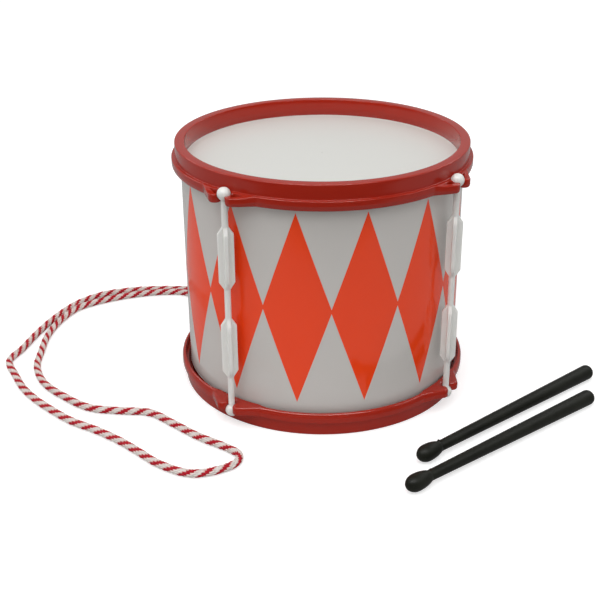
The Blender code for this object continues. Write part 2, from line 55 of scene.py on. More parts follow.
head_low, head_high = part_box("batter_head")
drum_axis = Vector(((head_low.x + head_high.x) / 2, (head_low.y + head_high.y) / 2, 0.0))

camera_data = bpy.data.cameras.new("photo_camera")
camera_data.sensor_width = SENSOR_WIDTH
camera_data.lens = CAMERA_LENS
camera_data.clip_start = NEAREST_SEEN
camera = bpy.data.objects.new("photo_camera", camera_data)
bpy.context.scene.collection.objects.link(camera)
aim = Matrix.Rotation(math.pi / 2 - CAMERA_TILT, 4, "X") @ Matrix.Rotation(-CAMERA_ROLL, 4, "Z")
camera.matrix_world = Matrix.Translation(drum_axis + CAMERA_PLACE) @ aim
bpy.context.scene.camera = camera
bpy.context.scene.view_settings.view_transform = "Standard"

# Floor and light
# A white sheet under the drum and a plain pale room, dimmer behind the camera as a studio is. One wide
# soft lamp hangs overhead. Three narrow ones, in front and at both sides, show in glossy surfaces only,
# as the bright lines on rounded edges.
ROOM_LIGHT = 0.62
ROOM_SIDES = 0.22
ROOM_SEEN = 1.0
ROOM_GLOSS = 0.42
ROOM_FRONT = -1.0
ROOM_BACK = 0.1
FRONT_DIM = 0.20
FLOOR_SIZE = 14.0
FLOOR_COLOUR = (0.66, 0.66, 0.66, 1.0)
FLOOR_DIM = (0.10, 0.10, 0.10, 1.0)
FLOOR_ROUGHNESS = 0.9
FLOOR_GLOW = 0.60
FLOOR_GLOSS_DIM = 0.70
NEAR_FRONT = -0.17
FAR_FRONT = -0.50
TOP_LAMP_POWER = 10.5
TOP_LAMP_SIZE = 1.5
TOP_LAMP_PLACE = Vector((-0.20, -0.55, 1.40))
STRIP_POWER = 17.0
STRIP_PLACE = Vector((-0.1, -0.75, 1.25))
SIDE_STRIP_POWER = 5.0
LEFT_STRIP_PLACE = Vector((-1.05, 0.25, 1.0))
RIGHT_STRIP_PLACE = Vector((1.05, 0.25, 1.0))
STRIP_LENGTH = 2.0
STRIP_WIDTH = 0.12
LAMP_AIM = Vector((0.0, 0.0, 0.1))


class Wire:
    """One socket of a material. Sums on wires become Math nodes, and node() adds any other node."""

    def __init__(self, tree, socket=None):
        self.tree = tree
        self.socket = socket

    def node(self, kind, settings=None, values=None, out=0):
        """A new node: its settings first, then a value or a wire for each named socket."""
        made = self.tree.nodes.new(kind)
        for name, value in (settings or {}).items():
            setattr(made, name, value)
        for name, value in (values or {}).items():
            if isinstance(value, Wire):
                self.tree.links.new(value.socket, made.inputs[name])
            else:
                made.inputs[name].default_value = value
        return Wire(self.tree, made.outputs[out])

    def maths(self, operation, *values):
        """A Math node on the values or wires."""
        return self.node("ShaderNodeMath", {"operation": operation}, dict(enumerate(values)))

    def __add__(self, other):
        return self.maths("ADD", self, other)

    def __radd__(self, other):
        return self.maths("ADD", other, self)

    def __sub__(self, other):
        return self.maths("SUBTRACT", self, other)

    def __rsub__(self, other):
        return self.maths("SUBTRACT", other, self)

    def __mul__(self, other):
        return self.maths("MULTIPLY", self, other)

    def __rmul__(self, other):
        return self.maths("MULTIPLY", other, self)

    def __truediv__(self, other):
        return self.maths("DIVIDE", self, other)

    def __abs__(self):
        return self.maths("ABSOLUTE", self)

    def axes(self):
        """The three numbers of a vector."""
        split = self.node("ShaderNodeSeparateXYZ", None, {"Vector": self})
        return [Wire(self.tree, socket) for socket in split.socket.node.outputs]

    def noise(self, scale, detail=3.0):
        """Soft noise from 0 to 1 at a vector."""
        return self.node("ShaderNodeTexNoise", None, {"Vector": self, "Scale": scale, "Detail": detail})

    def step(self, low, high, first=0.0, last=1.0):
        """Runs smoothly from first to last while the value goes from low to high."""
        values = {"Value": self, "From Min": low, "From Max": high, "To Min": first, "To Max": last}
        return self.node("ShaderNodeMapRange", {"interpolation_type": "SMOOTHSTEP"}, values)

    def blend(self, first, second):
        """Mix of two colours by this value. The node's colours are its inputs 6 and 7 and its output 2."""
        return self.node("ShaderNodeMix", {"data_type": "RGBA"}, {0: self, 6: first, 7: second}, out=2)


def light_rays(wire):
    """What kind of ray asks, as a wire for each kind."""
    sight = wire.node("ShaderNodeLightPath")
    return {socket.name: Wire(wire.tree, socket) for socket in sight.socket.node.outputs}


# The room is white to the camera. It lights the pieces a little more from both sides, and what glossy
# surfaces mirror of it is dim in front
world = bpy.data.worlds.new("pale_room")
world.use_nodes = True
bpy.context.scene.world = world
room = Wire(world.node_tree)
rays = light_rays(room)
x, y = room.node("ShaderNodeTexCoord").axes()[:2]
glossy = y.step(ROOM_FRONT, ROOM_BACK, FRONT_DIM, 1.0) * ROOM_GLOSS
direct = room.maths("MAXIMUM", rays["Is Camera Ray"], rays["Is Transmission Ray"])
even = (abs(x) * ROOM_SIDES + 1) * ROOM_LIGHT
plain = rays["Is Glossy Ray"] * (glossy - even) + even
strength = direct * (ROOM_SEEN - plain) + plain
background = world.node_tree.nodes["Background"]
background.inputs["Color"].default_value = (1.0, 1.0, 1.0, 1.0)
world.node_tree.links.new(strength.socket, background.inputs["Strength"])

# To the camera the floor is white and glows. The light that comes off it is dimmer from some way in
# front of the drum on, and in glossy surfaces it looks dimmer everywhere
floor_mesh = bpy.data.meshes.new("floor")
half = FLOOR_SIZE / 2
floor_corners = [(-half, -half, 0.0), (half, -half, 0.0), (half, half, 0.0), (-half, half, 0.0)]
floor_mesh.from_pydata(floor_corners, [], [(0, 1, 2, 3)])
floor = bpy.data.objects.new("floor", floor_mesh)
bpy.context.scene.collection.objects.link(floor)
floor_finish = bpy.data.materials.new("white_floor")
floor_finish.use_nodes = True
floor_shader = floor_finish.node_tree.nodes["Principled BSDF"]
floor_shader.inputs["Roughness"].default_value = FLOOR_ROUGHNESS
floor_shader.inputs["Specular IOR Level"].default_value = 0.0
floor_shader.inputs["Emission Color"].default_value = (1.0, 1.0, 1.0, 1.0)
paper = Wire(floor_finish.node_tree)
rays = light_rays(paper)
y = paper.node("ShaderNodeTexCoord", out=3).axes()[1]
far_front = (y - drum_axis.y).step(FAR_FRONT, NEAR_FRONT, 1.0, 0.0)
far_front = paper.maths("MAXIMUM", far_front, rays["Is Glossy Ray"] * FLOOR_GLOSS_DIM)
shaded = far_front * (1 - rays["Is Camera Ray"]) * (1 - rays["Is Transmission Ray"])
paper_colour = shaded.blend(FLOOR_COLOUR, FLOOR_DIM)
floor_finish.node_tree.links.new(paper_colour.socket, floor_shader.inputs["Base Color"])
seen = paper.maths("MAXIMUM", rays["Is Camera Ray"], rays["Is Transmission Ray"])
seen = paper.maths("MAXIMUM", seen, rays["Is Glossy Ray"])
glow = seen * (1 - shaded) * FLOOR_GLOW
floor_finish.node_tree.links.new(glow.socket, floor_shader.inputs["Emission Strength"])
floor_mesh.materials.append(floor_finish)


def lamp(name, power, place, length, width=None):
    """An area lamp aimed at the drum: a disk, or with a width a level strip for glossy surfaces only."""
    data = bpy.data.lights.new(name, "AREA")
    data.shape = "RECTANGLE" if width else "DISK"
    data.size = length
    if width:
        data.size_y = width
    data.energy = power
    made = bpy.data.objects.new(name, data)
    made.visible_diffuse = width is None
    made.location = drum_axis + place
    made.rotation_euler = (LAMP_AIM - place).to_track_quat("-Z", "Y").to_euler()
    bpy.context.scene.collection.objects.link(made)


lamp("top_lamp", TOP_LAMP_POWER, TOP_LAMP_PLACE, TOP_LAMP_SIZE)
lamp("front_strip", STRIP_POWER, STRIP_PLACE, STRIP_LENGTH, STRIP_WIDTH)
lamp("left_strip", SIDE_STRIP_POWER, LEFT_STRIP_PLACE, STRIP_LENGTH, STRIP_WIDTH)
lamp("right_strip", SIDE_STRIP_POWER, RIGHT_STRIP_PLACE, STRIP_LENGTH, STRIP_WIDTH)

# Shell
# One glossy white plastic sheet, screen printed with thirteen diamonds and rolled into a tube.
# Its ends overlap and are welded where the print leaves a plain strip, at the back.
SHELL_WALL = 0.0010
SHELL_STATIONS = 720
SHELL_LEVELS = 25
SHELL_CREASE = math.radians(40)
DIAMOND_COUNT = 13
DIAMOND_PITCH = math.radians(26.715)
DIAMOND_HEIGHT = 0.1420
DIAMOND_LIFT = 0.0014
DIAMOND_BRIDGE = 0.0030
SEAM_AZIMUTH = math.radians(169.17)
LAP_HALF = math.radians(5.2)
LAP_EDGE = math.radians(0.25)
LAP_RISE = 0.00035
PRINT_EDGE = 0.00025
PRINT_SIDE = 0.002
SHEET_COLOUR = (0.62, 0.597, 0.569, 1.0)
SHEET_CLOUD = (0.595, 0.572, 0.545, 1.0)
PRINT_COLOUR = (0.95, 0.066, 0.010, 1.0)
PRINT_CLOUD = (0.90, 0.058, 0.009, 1.0)
SHEET_ROUGHNESS = 0.05
SHEET_RELIEF = 0.00008


def grid_piece(name, points, ring=False):
    """A mesh whose corners are a grid of points, first axis by second axis.

    The second axis is closed on itself. The first is too in a ring, and else one face shuts each of its
    ends. The faces are turned so that they point out: where the volume that they close, summed over the
    faces, is negative, all are turned round."""
    rows, columns = points.shape[:2]
    index = np.arange(rows * columns).reshape(rows, columns)
    below = np.roll(index, -1, axis=0) if ring else index[1:]
    above = index if ring else index[:-1]
    quads = np.stack([above, np.roll(above, -1, axis=1), np.roll(below, -1, axis=1), below], axis=-1)
    quads = quads.reshape(-1, 4)
    flat = points.reshape(-1, 3)
    a, b, c, d = (flat[quads[:, k]] for k in range(4))
    volume = np.einsum("ij,ij->i", a - flat.mean(axis=0), np.cross(c - a, d - b)).sum()
    inside_out = volume < 0
    if inside_out:
        quads = quads[:, ::-1]
    faces = quads.tolist()
    if not ring:
        first, last = index[0].tolist(), index[-1].tolist()
        faces += [first, last[::-1]] if inside_out else [first[::-1], last]
    mesh = bpy.data.meshes.new(name)
    mesh.from_pydata(flat.tolist(), [], faces)
    mesh.shade_smooth()
    mesh.update()
    piece = bpy.data.objects.new(name, mesh)
    bpy.context.scene.collection.objects.link(piece)
    return piece


def finish(name, colour, roughness, specular=0.5):
    """A new material, its shader, and the object's coordinates as a wire."""
    made = bpy.data.materials.new(name)
    made.use_nodes = True
    shader = made.node_tree.nodes["Principled BSDF"]
    shader.inputs["Base Color"].default_value = colour
    shader.inputs["Roughness"].default_value = roughness
    shader.inputs["Specular IOR Level"].default_value = specular
    wire = Wire(made.node_tree)
    return made, shader, wire.node("ShaderNodeTexCoord", out=3)


def feed(wire, shader, name):
    """Links a wire to one of the shader's sockets."""
    wire.tree.links.new(wire.socket, shader.inputs[name])


def bump(height, shader, depth):
    """Gives the shader a relief of that depth in metres from a height between 0 and 1."""
    relief = height.node("ShaderNodeBump", None, {"Height": height, "Distance": depth, "Strength": 1.0})
    feed(relief, shader, "Normal")


shell_low, shell_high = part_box("shell")
shell_radius = (shell_high.x - shell_low.x) / 2
drum_middle = (shell_low.z + shell_high.z) / 2
drum_height = 2 * drum_middle
drum_place = np.array(drum_axis)


def shell_points():
    """The sheet as stations round the drum by points round its wall.

    Each station is the wall's section, up its outer side and down its inner one, at an azimuth counted
    from the front. At the seam the outer radius grows by the upper end's rise, with a ramp at each side."""
    azimuth = np.linspace(0, 2 * np.pi, SHELL_STATIONS, endpoint=False)[:, None]
    off_seam = np.abs((azimuth - SEAM_AZIMUTH + np.pi) % (2 * np.pi) - np.pi)
    lap = LAP_RISE * np.clip((LAP_HALF - off_seam) / LAP_EDGE + 0.5, 0, 1)
    outer = np.concatenate([np.ones(SHELL_LEVELS), np.zeros(2)])
    height = np.concatenate([
        np.linspace(shell_low.z, shell_high.z, SHELL_LEVELS), [shell_high.z, shell_low.z],
    ])
    radius = shell_radius - SHELL_WALL * (1 - outer) + lap * outer
    return np.stack([radius * np.sin(azimuth), -radius * np.cos(azimuth), height + 0 * azimuth], axis=-1)


shell = grid_piece("printed_shell", shell_points() + drum_place, ring=True)
shell.data.set_sharp_from_angle(angle=SHELL_CREASE)

# The print: a column is a diamond's number and the way across it, counted from the seam
sheet, sheet_shader, spot = finish("printed_sheet", SHEET_COLOUR, 0.2)
x, y, z = spot.axes()
x, y = x - drum_axis.x, y - drum_axis.y
seam_half = math.pi - DIAMOND_COUNT * DIAMOND_PITCH / 2
turned_by = x.maths("ARCTAN2", x * math.cos(SEAM_AZIMUTH) + y * math.sin(SEAM_AZIMUTH),
                    x * math.sin(SEAM_AZIMUTH) - y * math.cos(SEAM_AZIMUTH))
past_seam = turned_by.maths("FLOORED_MODULO", turned_by, 2 * math.pi)
column = (past_seam - seam_half) / DIAMOND_PITCH
share = 1 - abs(column.maths("FLOORED_MODULO", column, 1.0) * 2 - 1)
reach = share * ((DIAMOND_HEIGHT - DIAMOND_BRIDGE) / 2) + DIAMOND_BRIDGE / 2
inked = (reach - abs(z - (drum_middle + DIAMOND_LIFT))).step(-PRINT_EDGE, PRINT_EDGE)
inked = inked * column.step(-PRINT_SIDE, PRINT_SIDE)
inked = inked * (DIAMOND_COUNT - column).step(-PRINT_SIDE, PRINT_SIDE)
cloud = spot.noise(14.0, 4.0)
dust = spot.noise(900.0, 2.0)
ink = cloud.blend(PRINT_COLOUR, PRINT_CLOUD)
white = cloud.blend(SHEET_COLOUR, SHEET_CLOUD)
feed(inked.blend(white, ink), sheet_shader, "Base Color")
feed(SHEET_ROUGHNESS + 0.04 * cloud + 0.03 * inked, sheet_shader, "Roughness")
bump(spot.noise(34.0, 2.0) * 0.8 + dust * 0.03 + inked * 0.12, sheet_shader, SHEET_RELIEF)
shell.data.materials.append(sheet)
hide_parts("shell")
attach(shell, "drum")

# Heads
# Two caps moulded from white film: a flat playing face, a small step down to the edge that the
# hoop clamps. The upper one has a short fluted skirt outside the shell; the lower one's is trimmed off.
FILM_COLOUR = (0.71, 0.715, 0.68, 1.0)
FILM_CLOUD = (0.69, 0.695, 0.66, 1.0)
FILM_ROUGHNESS = 0.28
FILM_RELIEF = 0.00003
FILM_THICKNESS = 0.0008
FILM_CREASE = math.radians(50)
FACE_RINGS = 40
POLE_R = 0.0005
WALL_REACH = 0.0048
BEAD_RISE = 0.0003
BEAD_WIDTH = 0.0009
BEAD_FOOT = 0.0004
BEAD_CREST = 0.0001
EDGE_ROUND = 0.0006
EDGE_CORNER = (0.0002, 0.0001)
EDGE_DROP = 0.0005
PLAY_STEP = 0.0004
FLUTES = 120
FLUTE_STATIONS = 6
FLUTE_DEPTH = 0.00025
TRIM_LIP = 0.0001

film, film_shader, spot = finish("white_film", FILM_COLOUR, 0.33)
feed(FILM_ROUGHNESS + 0.12 * spot.noise(9.0, 4.0), film_shader, "Roughness")
feed(spot.noise(6.0).blend(FILM_COLOUR, FILM_CLOUD), film_shader, "Base Color")
bump(spot.noise(500.0, 2.0), film_shader, FILM_RELIEF)


def head_piece(name, node, side):
    """A film cap, turned from its profile, with a skirt whose radius waves round the drum.

    side is 1 for the upper cap and -1 for the lower one, which faces down and ends at the shell. Each row
    of the profile is a radius, a height, and the share of the flutes' depth that it takes."""
    low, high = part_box(node)
    face = high.z if side > 0 else low.z
    edge = face - side * PLAY_STEP
    inside = edge - side * FILM_THICKNESS
    skirt_r = (high.x - low.x) / 2
    play_r = skirt_r - WALL_REACH
    skirt_end = low.z
    if side < 0:
        skirt_r = shell_radius
        skirt_end = inside + TRIM_LIP
    rows = [(radius, face, 0) for radius in np.linspace(POLE_R, play_r - BEAD_WIDTH, FACE_RINGS)]
    rows += [
        (play_r - BEAD_FOOT, face + side * BEAD_RISE / 4, 0),
        (play_r - BEAD_CREST, face + side * BEAD_RISE, 0),
        (play_r, edge, 0),
        (skirt_r - EDGE_ROUND, edge, 0),
        (skirt_r - EDGE_CORNER[0], edge - side * EDGE_CORNER[1], 0),
        (skirt_r, edge - side * EDGE_DROP, 0),
        (skirt_r, skirt_end, 1),
        (skirt_r - FILM_THICKNESS, skirt_end, 1),
        (skirt_r - FILM_THICKNESS, inside, 0),
        (play_r, inside, 0),
        (POLE_R, inside, 0),
    ]
    profile_r, profile_z, fluted = np.array(rows).T
    angle = np.linspace(0, 2 * np.pi, FLUTES * FLUTE_STATIONS, endpoint=False)[:, None]
    radius = profile_r - FLUTE_DEPTH * fluted * (1 + np.cos(FLUTES * angle))
    points = np.stack([radius * np.cos(angle), radius * np.sin(angle), profile_z + 0 * angle], axis=-1)
    head = grid_piece(name, points + drum_place, ring=True)
    head.data.set_sharp_from_angle(angle=FILM_CREASE)
    head.data.materials.append(film)
    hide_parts(node)
    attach(head, "drum")


head_piece("film_batter_head", "batter_head", 1)
head_piece("film_bottom_head", "bottom_head", -1)

# Hoops
# Two of the same moulding in glossy red plastic, one turned over. A hollow ring stands over the head's
# edge, a wider flange lies below it, and four forks hold the balls of the rods.
RING_R = 0.10658
INNER_R = 0.0995
INNER_FOOT_R = 0.0991
RING_HEIGHT = 0.0106
RING_ROOF = 0.0020
RIM_EDGE = 0.0008
INNER_EDGE = 0.0006
CLAMP_OUT_R = 0.1021
CHANNEL_R = 0.10448
CHANNEL_ROOF = 0.0120
CHANNEL_EASE = 0.0004
LIP_R = 0.1067
LIP_GAP = 0.0003
LIP_HEIGHT = 0.0010
FOOT_DEPTH = 0.0130
FOOT_CHAMFER = 0.0004
FOOT_FILLET = 0.0004
FLANGE_HEIGHT = 0.0073
FLANGE_R = 0.10918
SHELF_EDGE = 0.0006
FREE_REACH = 0.0020
FREE_RISE = 0.0026
PARTING = 0.00012
EAR_COUNT = 4
EAR_AZIMUTH = math.radians(53.7)
EAR_HALF_WIDTH = 0.0220
EAR_R = 0.1171
EAR_EASE_FROM = math.radians(14.5)
EAR_EASE = math.radians(5.5)
FORK_ROUND = 0.0017
FORK_DROP = 0.0011
FORK_EASE = 0.0040
FINGER_R = 0.0045
SLOT_HALF = 0.0026
SLOT_END = 0.1086
KINK_EASE = 3
ROD_R = 0.11168
SEAT_R = 0.0049
BALL_DROP = 0.0115
POCKET = [(0.1096, 0.0056), (0.1130, 0.0066), (0.1094, 0.0134)]
POCKET_DEPTH = 0.0046
POCKET_EASE = 0.0004
SHELF_RINGS = 36
HOOP_CREASE = math.radians(48)
RED_COLOUR = (0.385, 0.0180, 0.0062, 1.0)
RED_FLOW = (0.36, 0.0163, 0.0056, 1.0)
RED_ROUGHNESS = 0.09
RED_SPECULAR = 0.42
RED_RELIEF = 0.00003


def arc(centre, radius, first, last, count):
    """Points on an arc and the directions away from its centre."""
    angle = np.linspace(first, last, count)
    away = np.stack([np.cos(angle), np.sin(angle)], axis=-1)
    return np.array(centre) + radius * away, away


def straight(first, last, normal, count):
    """Points on a straight line without its ends, and one normal for all of them."""
    t = np.linspace(0, 1, count + 2)[1:-1, None]
    return np.array(first) * (1 - t) + np.array(last) * t, np.tile(normal, (count, 1))


def smooth(value):
    """Eases a value between 0 and 1."""
    value = np.clip(value, 0, 1)
    return value * value * (3 - 2 * value)


def turn_about_z(points, angle):
    """The points turned about the Z axis."""
    x, y, z = np.moveaxis(points, -1, 0)
    cosine, sine = math.cos(angle), math.sin(angle)
    return np.stack([x * cosine - y * sine, x * sine + y * cosine, z], axis=-1)


def hoop_plan():
    """The flange's outer edge seen from above, over a quarter turn with a fork in its middle.

    From the slot's end on the fork's middle line the edge runs round the slot, along its wall, round a
    finger, straight to the flange and along its arc, and the other half is its mirror image. Each point
    has an outward normal and the angle at which it is joined to the ring. The normals are averaged with
    their neighbours at the kink where the straight meets the arc."""
    slot_centre = (SLOT_END + SLOT_HALF, 0.0)
    tip_centre = (EAR_R - FINGER_R, SLOT_HALF + FINGER_R)
    kink = math.asin(EAR_HALF_WIDTH / FLANGE_R)
    kink_point = (FLANGE_R * math.cos(kink), EAR_HALF_WIDTH)
    away = np.subtract(kink_point, tip_centre)
    touch = math.atan2(away[1], away[0]) - math.acos(FINGER_R / np.hypot(*away))
    slot, slot_away = arc(slot_centre, SLOT_HALF, math.pi, math.pi / 2, 9)
    wall, wall_away = straight(slot[-1], (tip_centre[0], SLOT_HALF), (0.0, -1.0), 4)
    tip, tip_away = arc(tip_centre, FINGER_R, -math.pi / 2, touch, 26)
    line, line_away = straight(tip[-1], kink_point, tip_away[-1], 30)
    rest, rest_away = arc((0, 0), FLANGE_R, kink, math.pi / EAR_COUNT, 34)
    points = np.concatenate([slot, wall, tip, line, rest])
    normals = np.concatenate([-slot_away, wall_away, tip_away, line_away, rest_away])
    tip_end = len(slot) + len(wall) + len(tip) - 1
    kink_at = tip_end + 1 + len(line)
    window = np.full(2 * KINK_EASE + 1, 1 / (2 * KINK_EASE + 1))
    eased = [np.convolve(np.pad(part, KINK_EASE, mode="edge"), window, "valid") for part in normals.T]
    near_kink = slice(kink_at - KINK_EASE - 1, kink_at + KINK_EASE + 1)
    normals[near_kink] = np.stack(eased, axis=-1)[near_kink]
    normals /= np.linalg.norm(normals, axis=1, keepdims=True)
    angle = np.arctan2(points[:, 1], points[:, 0])
    walked = np.concatenate([[0], np.cumsum(np.linalg.norm(np.diff(points, axis=0), axis=1))])
    before_tip = np.arange(len(angle)) < tip_end
    joined = np.where(before_tip, angle[tip_end] * walked / walked[tip_end], angle)
    flip = np.array([1.0, -1.0])
    points = np.concatenate([points[:0:-1] * flip, points[:-1]])
    normals = np.concatenate([normals[:0:-1] * flip, normals[:-1]])
    joined = np.concatenate([-joined[:0:-1], joined[:-1]])
    return points, normals, joined


def shelf_height(x, y):
    """Height of the shelf and of the fork's upper side, which drops a little beyond the flange's circle,
    less the ball's seat and the cored pockets. A pocket is a triangle with eased sides, one each side."""
    level = RING_HEIGHT + FORK_DROP * smooth((np.hypot(x, y) - FLANGE_R + SHELF_EDGE) / FORK_EASE)
    off_rod = np.hypot(x - ROD_R, y)
    seat = BALL_DROP + np.sqrt(np.clip(SEAT_R ** 2 - off_rod ** 2, 0, None))
    shelf = np.where(off_rod < SEAT_R, np.maximum(seat, level), level)
    corners = np.array(POCKET)
    outside = np.full(np.shape(x), -1.0)
    for first, second in zip(corners, np.roll(corners, -1, axis=0)):
        run = second - first
        normal = np.array([run[1], -run[0]]) / np.hypot(*run)
        outside = np.maximum(outside, (x - first[0]) * normal[0] + (np.abs(y) - first[1]) * normal[1])
    pocket = POCKET_DEPTH * smooth(0.5 - outside / POCKET_EASE)
    return -np.maximum(shelf, level + pocket)


def hoop_points():
    """The whole hoop as stations round it by points round its section, rim at height 0.

    From the ring's inner edge the section runs over the rim, down the outer wall and its fillet, out over
    the shelf, down the flange or fork with rounded edges, in under it to the lip, round the channel and
    the hollow of the ring, and up the inner wall."""
    plan, normal, joined = hoop_plan()
    count = len(plan)
    ring = np.stack([np.cos(joined), np.sin(joined)], axis=-1)
    loop = []

    def on_ring(radius, height):
        """Adds a row at one height, with one radius for all stations or one for each."""
        radius = np.broadcast_to(radius, count)[:, None]
        loop.append(np.concatenate([ring * radius, np.full((count, 1), height)], axis=1))

    for angle in np.linspace(math.pi / 2, 0, 4):
        on_ring(INNER_R + INNER_EDGE * (1 - math.sin(angle)), -INNER_EDGE * (1 - math.cos(angle)))
    rim_width = RING_R - RIM_EDGE - INNER_R - INNER_EDGE
    for share in (0.33, 0.66):
        on_ring(INNER_R + INNER_EDGE + share * rim_width, 0.0)
    for angle in np.linspace(0, math.pi / 2, 7):
        on_ring(RING_R - RIM_EDGE * (1 - math.sin(angle)), -RIM_EDGE * (1 - math.cos(angle)))
    for height in np.linspace(RIM_EDGE, RING_HEIGHT - FOOT_FILLET, 6)[1:]:
        on_ring(RING_R, -height)
    for angle in np.linspace(0, math.pi / 2, 6)[1:-1]:
        height = FOOT_FILLET * (1 - math.sin(angle)) - RING_HEIGHT
        on_ring(RING_R + FOOT_FILLET * (1 - math.cos(angle)), height)
    foot = ring * (RING_R + FOOT_FILLET)
    edge = plan - normal * SHELF_EDGE
    for share in np.linspace(0, 1, SHELF_RINGS):
        spot = foot * (1 - share) + edge * share
        loop.append(np.concatenate([spot, shelf_height(*spot.T)[:, None]], axis=1))
    top = shelf_height(*edge.T)[:, None]
    bottom = -RING_HEIGHT - FLANGE_HEIGHT
    in_fork = smooth((np.linalg.norm(plan, axis=1, keepdims=True) - FLANGE_R) / FORK_EASE)
    reach = FREE_REACH + (FORK_ROUND - FREE_REACH) * in_fork
    rise = FREE_RISE + (FORK_ROUND - FREE_RISE) * in_fork
    upper = np.minimum(SHELF_EDGE, (top - bottom) * 0.3)
    lower = np.minimum(rise, (top - bottom) * 0.5)
    for angle in np.linspace(0, math.pi / 2, 7)[1:]:
        spot = plan - normal * SHELF_EDGE * (1 - math.sin(angle))
        loop.append(np.concatenate([spot, top - upper * (1 - math.cos(angle))], axis=1))
    for share in (0.33, 0.66, 0.96):
        height = (top - upper) * (1 - share) + (bottom + lower) * share
        loop.append(np.concatenate([plan, height], axis=1))
    for angle in np.linspace(0, math.pi / 2, 9):
        spot = plan - normal * (PARTING + (reach - PARTING) * (1 - math.cos(angle)))
        loop.append(np.concatenate([spot, bottom + lower * (1 - math.sin(angle))], axis=1))
    in_ear = smooth((EAR_EASE_FROM - np.abs(joined)) / EAR_EASE)
    lip_r = LIP_R + (CHANNEL_R + LIP_GAP - LIP_R) * in_ear
    lip = ring * lip_r[:, None]
    under = plan - normal * reach
    flat = np.full((count, 1), bottom)
    for share in np.linspace(0, 1, 7)[1:]:
        loop.append(np.concatenate([under * (1 - share) + lip * share, flat], axis=1))
    on_ring(lip_r, bottom + LIP_HEIGHT)
    on_ring(lip_r, -CHANNEL_ROOF - CHANNEL_EASE)
    on_ring(lip_r - CHANNEL_EASE / 2, -CHANNEL_ROOF)
    on_ring(CHANNEL_R, -CHANNEL_ROOF)
    on_ring(CHANNEL_R, -RING_ROOF)
    on_ring(CLAMP_OUT_R, -RING_ROOF)
    on_ring(CLAMP_OUT_R, -FOOT_DEPTH)
    on_ring(INNER_FOOT_R + FOOT_CHAMFER, -FOOT_DEPTH)
    on_ring(INNER_FOOT_R, -FOOT_DEPTH + FOOT_CHAMFER)
    on_ring((INNER_FOOT_R + INNER_R) / 2, -FOOT_DEPTH / 2)
    quarter = np.stack(loop, axis=1)
    return np.concatenate([turn_about_z(quarter, 2 * math.pi * k / EAR_COUNT) for k in range(EAR_COUNT)])


red, red_shader, spot = finish("red_plastic", RED_COLOUR, 0.18, RED_SPECULAR)
flow = spot.noise(18.0, 4.0)
feed(flow.blend(RED_COLOUR, RED_FLOW), red_shader, "Base Color")
feed(RED_ROUGHNESS + 0.08 * flow, red_shader, "Roughness")
bump(spot.noise(60.0, 3.0), red_shader, RED_RELIEF)

hoop_shape = hoop_points()
for hoop_name, node, height, flip in (
    ("red_top_hoop", "top_hoop", drum_height, 1.0), ("red_bottom_hoop", "bottom_hoop", 0.0, -1.0)
):
    points = turn_about_z(hoop_shape * (1.0, flip, flip), EAR_AZIMUTH - math.pi / 2)
    hoop = grid_piece(hoop_name, points + (0.0, 0.0, height) + drum_place, ring=True)
    hoop.data.set_sharp_from_angle(angle=HOOP_CREASE)
    hoop.data.materials.append(red)
    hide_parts(node)
    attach(hoop, "drum")

# Tension rods
# Four white mouldings. Each has a ball at both ends that snaps into the forks, a round stem, and
# two long blades of four wings by which it is gripped and turned.
STEM_R = 0.00225
BALL_R = 0.0046
BLADE_START = 0.0100
BLADE_LENGTH = 0.0480
BLADE_BEVEL = 0.0065
WING_HALF = 0.00555
WING_THICKNESS = 0.0031
WING_ROOT = 0.6
WING_SQUARENESS = 9
WING_CREASE = 16
POLE_ANGLE = 0.02
BALL_LEVELS = 20
BEVEL_LEVELS = 12
STEM_LEVELS = [0.004, 0.0]
ROD_STATIONS = 144
ROD_SHARP = math.radians(60)
ROD_TURNS = {"front_right": -8.0, "rear_right": 21.0, "rear_left": 36.0, "front_left": 9.0}
BLADE_LIFTS = {"front_left": 0.0022}
ROD_ROUGHNESS = 0.28
ROD_RELIEF = 0.00005
SOFT_LIGHT = 0.15
SOFT_LIGHT_REACH = (0.002, 0.0018, 0.0016)


def srgb(red, green, blue):
    """Linear colour from 8 bit screen values, by the screen's own curve."""
    share = np.array([red, green, blue]) / 255
    linear = np.where(share <= 0.04045, share / 12.92, ((share + 0.055) / 1.055) ** 2.4)
    return (*linear.tolist(), 1.0)


